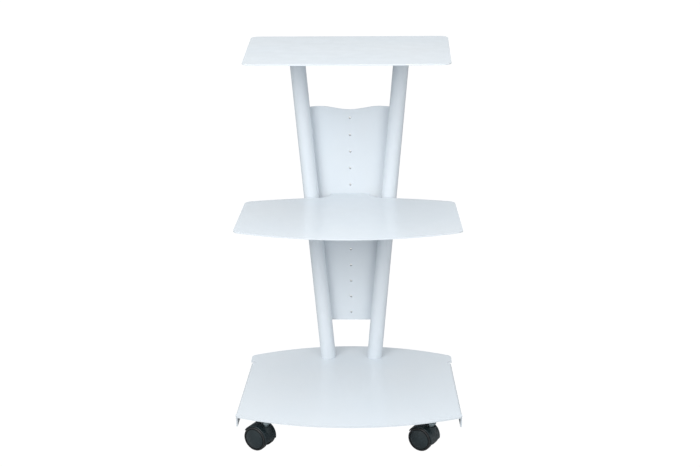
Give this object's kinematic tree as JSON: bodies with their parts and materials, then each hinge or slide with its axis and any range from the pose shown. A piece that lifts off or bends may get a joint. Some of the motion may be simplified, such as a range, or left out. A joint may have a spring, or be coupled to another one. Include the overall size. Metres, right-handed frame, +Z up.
{
  "type": "rolling salon trolley",
  "caption": "Open three-tier rolling trolley: sheet-steel shelves on two splayed tube uprights with a perforated back plate, on twin-wheel swivel casters.",
  "frame": {"origin": "on the floor, at the centre of the bounding box's footprint", "axes": "+Z up; the open front with the curved shelf edges faces -Y; the uprights are at +Y; +X is to the right seen from the front"},
  "size_m": [0.45, 0.3968, 0.772],
  "materials": {
    "powder_coat": "cool white gloss powder coat",
    "zinc_plate": "bright zinc plate",
    "caster_gloss": "gloss black nylon",
    "wheel_tread": "satin black nylon"
  },
  "bodies": {
    "root": {"top_shelf": "powder_coat", "top_shelf_studs": "zinc_plate", "top_bracket": "powder_coat", "top_bracket_washers": "zinc_plate", "top_bracket_nuts": "zinc_plate", "left_upright": "powder_coat", "right_upright": "powder_coat", "upright_plugs": "zinc_plate", "back_plate": "powder_coat", "middle_shelf": "powder_coat", "middle_shelf_screws": "zinc_plate", "plate_nuts": "zinc_plate", "base_plate": "powder_coat", "base_bolts": "zinc_plate", "base_washers": "zinc_plate", "caster_weld_nuts": "zinc_plate", "caster_jam_nuts": "zinc_plate", "stem_rings": "zinc_plate", "front_left_stem": "zinc_plate", "front_right_stem": "zinc_plate", "rear_left_stem": "zinc_plate", "rear_right_stem": "zinc_plate"},
    "front_left_caster": {"front_left_housing": "caster_gloss", "front_left_axle": "zinc_plate"},
    "front_left_roller_a": {"front_left_wheel_a": "wheel_tread", "front_left_cap_a": "caster_gloss"},
    "front_left_roller_b": {"front_left_wheel_b": "wheel_tread", "front_left_cap_b": "caster_gloss"},
    "front_right_caster": {"front_right_housing": "caster_gloss", "front_right_axle": "zinc_plate"},
    "front_right_roller_a": {"front_right_wheel_a": "wheel_tread", "front_right_cap_a": "caster_gloss"},
    "front_right_roller_b": {"front_right_wheel_b": "wheel_tread", "front_right_cap_b": "caster_gloss"},
    "rear_left_caster": {"rear_left_housing": "caster_gloss", "rear_left_axle": "zinc_plate"},
    "rear_left_roller_a": {"rear_left_wheel_a": "wheel_tread", "rear_left_cap_a": "caster_gloss"},
    "rear_left_roller_b": {"rear_left_wheel_b": "wheel_tread", "rear_left_cap_b": "caster_gloss"},
    "rear_right_caster": {"rear_right_housing": "caster_gloss", "rear_right_axle": "zinc_plate"},
    "rear_right_roller_a": {"rear_right_wheel_a": "wheel_tread", "rear_right_cap_a": "caster_gloss"},
    "rear_right_roller_b": {"rear_right_wheel_b": "wheel_tread", "rear_right_cap_b": "caster_gloss"}
  },
  "joints": [
    {"name": "front_left_swivel", "type": "hinge", "parent": "root", "child": "front_left_caster", "pos_m": [-0.164, -0.146, 0.04], "axis": [0, 0, 1], "continuous": true},
    {"name": "front_left_spin_a", "type": "hinge", "parent": "front_left_caster", "child": "front_left_roller_a", "pos_m": [-0.17872, -0.1375, 0.025], "axis": [-0.5, -0.866, 0], "continuous": true},
    {"name": "front_left_spin_b", "type": "hinge", "parent": "front_left_caster", "child": "front_left_roller_b", "pos_m": [-0.17872, -0.1375, 0.025], "axis": [-0.5, -0.866, 0], "continuous": true},
    {"name": "front_right_swivel", "type": "hinge", "parent": "root", "child": "front_right_caster", "pos_m": [0.164, -0.146, 0.04], "axis": [0, 0, 1], "continuous": true},
    {"name": "front_right_spin_a", "type": "hinge", "parent": "front_right_caster", "child": "front_right_roller_a", "pos_m": [0.14928, -0.1375, 0.025], "axis": [-0.5, -0.866, 0], "continuous": true},
    {"name": "front_right_spin_b", "type": "hinge", "parent": "front_right_caster", "child": "front_right_roller_b", "pos_m": [0.14928, -0.1375, 0.025], "axis": [-0.5, -0.866, 0], "continuous": true},
    {"name": "rear_left_swivel", "type": "hinge", "parent": "root", "child": "rear_left_caster", "pos_m": [-0.164, 0.128, 0.04], "axis": [0, 0, 1], "continuous": true},
    {"name": "rear_left_spin_a", "type": "hinge", "parent": "rear_left_caster", "child": "rear_left_roller_a", "pos_m": [-0.17872, 0.1365, 0.025], "axis": [-0.5, -0.866, 0], "continuous": true},
    {"name": "rear_left_spin_b", "type": "hinge", "parent": "rear_left_caster", "child": "rear_left_roller_b", "pos_m": [-0.17872, 0.1365, 0.025], "axis": [-0.5, -0.866, 0], "continuous": true},
    {"name": "rear_right_swivel", "type": "hinge", "parent": "root", "child": "rear_right_caster", "pos_m": [0.164, 0.128, 0.04], "axis": [0, 0, 1], "continuous": true},
    {"name": "rear_right_spin_a", "type": "hinge", "parent": "rear_right_caster", "child": "rear_right_roller_a", "pos_m": [0.14928, 0.1365, 0.025], "axis": [-0.5, -0.866, 0], "continuous": true},
    {"name": "rear_right_spin_b", "type": "hinge", "parent": "rear_right_caster", "child": "rear_right_roller_b", "pos_m": [0.14928, 0.1365, 0.025], "axis": [-0.5, -0.866, 0], "continuous": true}
  ]
}
